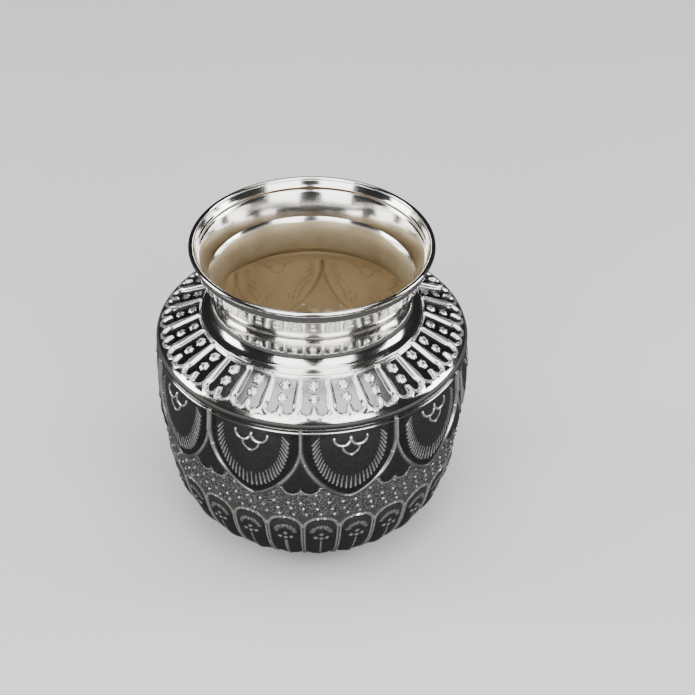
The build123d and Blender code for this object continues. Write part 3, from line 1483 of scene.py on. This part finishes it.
@dataclass
class Wires:
    """The three edge wires, each a ring of round or half-round section."""

    pot: Pot
    seam_wire: float = 0.45
    seam_drop: float = 0.7  # how far below the edge of the ring the wire lies
    neck_wire: float = 0.45
    sides: int = 16  # sides of a wire's section
    steps: int = 360  # stretches round the pot

    def ring(self, name: str, center: Point, radius: float, squash: float) -> bpy.types.Object:
        """Makes one wire, full round and let a little into the sheet.

        Args:
            name: name of the piece.
            center: middle of its section.
            radius: radius of its section.
            squash: how far its section varies along it, as a file and solder leave it.

        Returns:
            The piece.
        """
        bm = bmesh.new()
        circle = bmesh.ops.create_circle(bm, cap_ends=False, radius=radius * MM, segments=self.sides)
        upright = Matrix.Rotation(math.pi / 2, 4, "X")
        stand = Matrix.Translation((center[0] * MM, 0.0, center[1] * MM)) @ upright
        bmesh.ops.transform(bm, matrix=stand, verts=circle["verts"])
        bmesh.ops.spin(
            bm,
            geom=list(bm.verts) + list(bm.edges),
            cent=(0.0, 0.0, 0.0),
            axis=(0.0, 0.0, 1.0),
            angle=math.tau,
            steps=self.steps,
            use_merge=True,
            use_duplicate=False,
        )
        bmesh.ops.remove_doubles(bm, verts=bm.verts, dist=1e-7)
        bmesh.ops.recalc_face_normals(bm, faces=bm.faces)
        mesh = bpy.data.meshes.new(name)
        bm.to_mesh(mesh)
        bm.free()
        co = places_of(mesh)
        angle = np.arctan2(co[:, 1], co[:, 0])
        wave = 1.0 + squash * (np.sin(angle * 9.0 + radius * 40.0) + 0.6 * np.sin(angle * 23.0))
        reach = np.hypot(co[:, 0], co[:, 1])
        across = (reach - center[0] * MM) * wave
        new_reach = center[0] * MM + across
        co[:, 2] = center[1] * MM + (co[:, 2] - center[1] * MM) * wave
        co[:, 0] *= new_reach / reach
        co[:, 1] *= new_reach / reach
        mesh.vertices.foreach_set("co", co.astype(np.float32).ravel())
        piece = bpy.data.objects.new(name, mesh)
        bpy.context.scene.collection.objects.link(piece)
        return piece

    def build(self, finish: bpy.types.Material) -> list[bpy.types.Object]:
        """Makes and dresses the wires.

        Args:
            finish: their finish.

        Returns:
            The pieces.
        """
        pot = self.pot
        made = []
        joint = pot.joint_radius, pot.joint_height
        seam = pot.seam_radius, pot.seam_height - self.seam_drop
        for name, center, radius, squash, node in (
            ("lip_wire_ring", pot.lip_center, pot.lip_wire, 0.012, "lip_wire"),
            ("neck_wire_ring", joint, self.neck_wire, 0.05, "neck_wire"),
            ("seam_wire_ring", seam, self.seam_wire, 0.06, "seam_wire"),
        ):
            piece = self.ring(name, center, radius, squash)
            dress(piece, finish, "polished_silver", node)
            made.append(piece)
        return made


# ---- stage ---------------------------------------------------------------------------------------


@dataclass
class Stage:
    """A pale floor, soft lights and the camera."""

    floor_tone: float = 0.62
    mirrored_tone: float = 0.035
    floor_size: float = 6.0  # half the width of the floor, in metres
    room: float = 0.55
    mirrored_room: Colour = (0.022, 0.022, 0.024)
    lit_height: float = 70.0  # the lights point at this height on the axis
    lens: float = 110.6
    pitch: float = 36.9  # degrees below level
    distance: float = 758.6
    aim_drop: float = 37.0  # how far the lip's middle stands above the camera's own line
    aim_side: float = 12.6  # how far it stands to the left of it
    lip_plane: float = 119.3

    def floor(self) -> None:
        """Lays the floor: pale to look at, and dark in the silver, as under a studio's black flags."""
        bm = bmesh.new()
        bmesh.ops.create_grid(bm, x_segments=1, y_segments=1, size=self.floor_size)
        mesh = bpy.data.meshes.new("floor")
        bm.to_mesh(mesh)
        bm.free()
        floor = bpy.data.objects.new("floor", mesh)
        bpy.context.scene.collection.objects.link(floor)
        material = bpy.data.materials.new("floor_paint")
        material.use_nodes = True
        n = Nodes(material.node_tree)
        shader = material.node_tree.nodes["Principled BSDF"]
        rays = n.add("ShaderNodeLightPath")
        seen = n.math("SUBTRACT", 1.0, rays.outputs["Is Glossy Ray"])
        pale, dark = paint((self.floor_tone,) * 3), paint((self.mirrored_tone,) * 3)
        n.feed(shader, Base_Color=n.mix(seen, dark, pale), Roughness=0.85)
        mesh.materials.append(material)

    def lights(self) -> None:
        """Hangs the lights: one large soft light overhead, two in front of it, and one at each side."""
        for name, place, size, power in (
            ("top_light", (0.0, -0.12, 1.0), (0.75, 0.95), 8.5),
            ("front_left_light", (-0.40, -0.88, 0.64), (0.6, 0.95), 9.0),
            ("front_right_light", (0.44, -0.86, 0.62), (0.6, 0.95), 9.0),
            ("left_light", (-0.9, 0.05, 0.38), (0.4, 0.5), 5.5),
            ("right_light", (0.9, 0.1, 0.42), (0.4, 0.5), 5.5),
        ):
            lamp = bpy.data.lights.new(name, "AREA")
            lamp.shape = "RECTANGLE"
            lamp.size, lamp.size_y = size
            lamp.energy = power
            holder = bpy.data.objects.new(name, lamp)
            holder.location = place
            aim = Vector((0.0, 0.0, self.lit_height * MM)) - Vector(place)
            holder.rotation_euler = aim.to_track_quat("-Z", "Y").to_euler()
            bpy.context.scene.collection.objects.link(holder)

    def surroundings(self) -> None:
        """Sets the room: pale behind the pot, and dark in the silver."""
        world = bpy.data.worlds.new("room")
        bpy.context.scene.world = world
        world.use_nodes = True
        n = Nodes(world.node_tree)
        background = world.node_tree.nodes["Background"]
        rays = n.add("ShaderNodeLightPath")
        pale, dark = paint((self.room,) * 3), paint(self.mirrored_room)
        seen = n.mix(rays.outputs["Is Glossy Ray"], pale, dark)
        n.feed(background, Color=seen, Strength=1.0)

    def camera(self) -> None:
        """Places the camera."""
        data = bpy.data.cameras.new("camera")
        data.lens = self.lens
        data.sensor_width = 36.0
        data.clip_start, data.clip_end = 0.01, 30.0
        camera = bpy.data.objects.new("camera", data)
        pitch = math.radians(self.pitch)
        ahead = Vector((0.0, math.cos(pitch), -math.sin(pitch)))
        over = Vector((0.0, math.sin(pitch), math.cos(pitch)))
        lip = Vector((0.0, 0.0, self.lip_plane * MM))
        camera.location = lip - ahead * self.distance * MM - over * self.aim_drop * MM
        swing = math.atan2(self.aim_side, self.distance)
        turned = ahead.copy()
        turned.rotate(Matrix.Rotation(-swing, 3, over))
        camera.rotation_mode = "QUATERNION"
        side = turned.cross(over).normalized()
        basis = Matrix((side, over, -turned)).transposed()
        camera.rotation_quaternion = basis.to_quaternion()
        bpy.context.scene.collection.objects.link(camera)
        bpy.context.scene.camera = camera

    def build(self) -> None:
        """Sets the whole stage."""
        self.floor()
        self.lights()
        self.surroundings()
        self.camera()


def main() -> None:
    """Builds the pot piece by piece, then the stage."""
    pot = Pot()
    effects = SharedEffects()
    polished = SilverFinish("polished_silver", inside=(0.40, 0.33, 0.215)).build(effects)
    flute = SilverFinish(
        "chased_silver", dark=(0.17, 0.17, 0.175), dark_rough=0.2, worn_rough=0.28, bare_rough=0.09,
        satin=0.14, stain=0.0,
    ).build(effects)
    darkened = SilverFinish("oxidised_silver").build(effects)
    ground = SilverFinish("matted_silver").build(effects)

    Bowl(pot).build(darkened, ground)
    Shoulder(pot).build(flute)
    Neck(pot).build(polished)
    Wires(pot).build(polished)
    Stage().build()

    bpy.context.view_layer.update()


if __name__ == "__main__":
    main()
